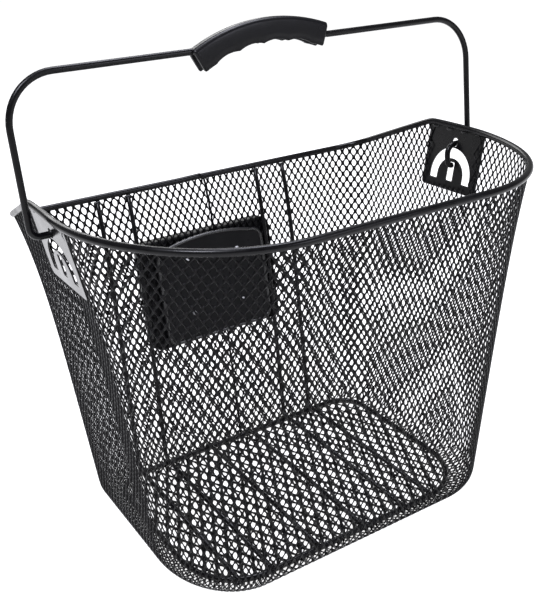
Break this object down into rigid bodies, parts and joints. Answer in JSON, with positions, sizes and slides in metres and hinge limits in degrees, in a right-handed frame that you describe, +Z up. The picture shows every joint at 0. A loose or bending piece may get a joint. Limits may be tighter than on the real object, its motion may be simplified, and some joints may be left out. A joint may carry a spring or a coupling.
{
  "type": "bicycle handlebar basket",
  "caption": "Deep expanded-metal bicycle basket, flat back and rounded front, with a folding wire bail handle, plastic grip and click-on adapter bracket behind.",
  "frame": {"origin": "centre of the base ring's plan, on the underside of the mesh floor", "axes": "+X along the basket's long side, +Y towards the bicycle, where the flat back and the bracket are, -Y towards the rounded front, +Z up; facing along +Y from the front, +X is to the right"},
  "size_m": [0.364, 0.2737, 0.3649],
  "materials": {
    "powder_coated_mesh": "black powder coat, satin",
    "powder_coated_wire": "black powder coat, semi-gloss",
    "powder_coated_plate": "black powder coat, slightly textured",
    "grip_plastic": "moulded black plastic, satin",
    "adapter_plastic": "moulded black glass-filled nylon, satin",
    "zinc_screw": "bright zinc-plated steel"
  },
  "bodies": {
    "basket": {"side_mesh": "powder_coated_mesh", "floor_mesh": "powder_coated_mesh", "top_rim": "powder_coated_wire", "base_ring": "powder_coated_wire", "back_rib_1": "powder_coated_wire", "back_rib_2": "powder_coated_wire", "back_rib_3": "powder_coated_wire", "back_rib_4": "powder_coated_wire", "floor_wire_1": "powder_coated_wire", "floor_wire_2": "powder_coated_wire", "bail_plate_right": "powder_coated_plate", "bail_plate_left": "powder_coated_plate", "backing_plate": "adapter_plastic", "outer_bracket": "adapter_plastic", "bracket_screw_1": "zinc_screw", "bracket_screw_2": "zinc_screw", "bracket_screw_3": "zinc_screw", "bracket_screw_4": "zinc_screw"},
    "bail": {"bail_wire": "powder_coated_wire", "bail_grip": "grip_plastic"}
  },
  "joints": [
    {"name": "bail_swing", "type": "hinge", "parent": "basket", "child": "bail", "pos_m": [0, 0, 0.2536], "axis": [1, 0, 0], "range_deg": [-87, 85]}
  ]
}
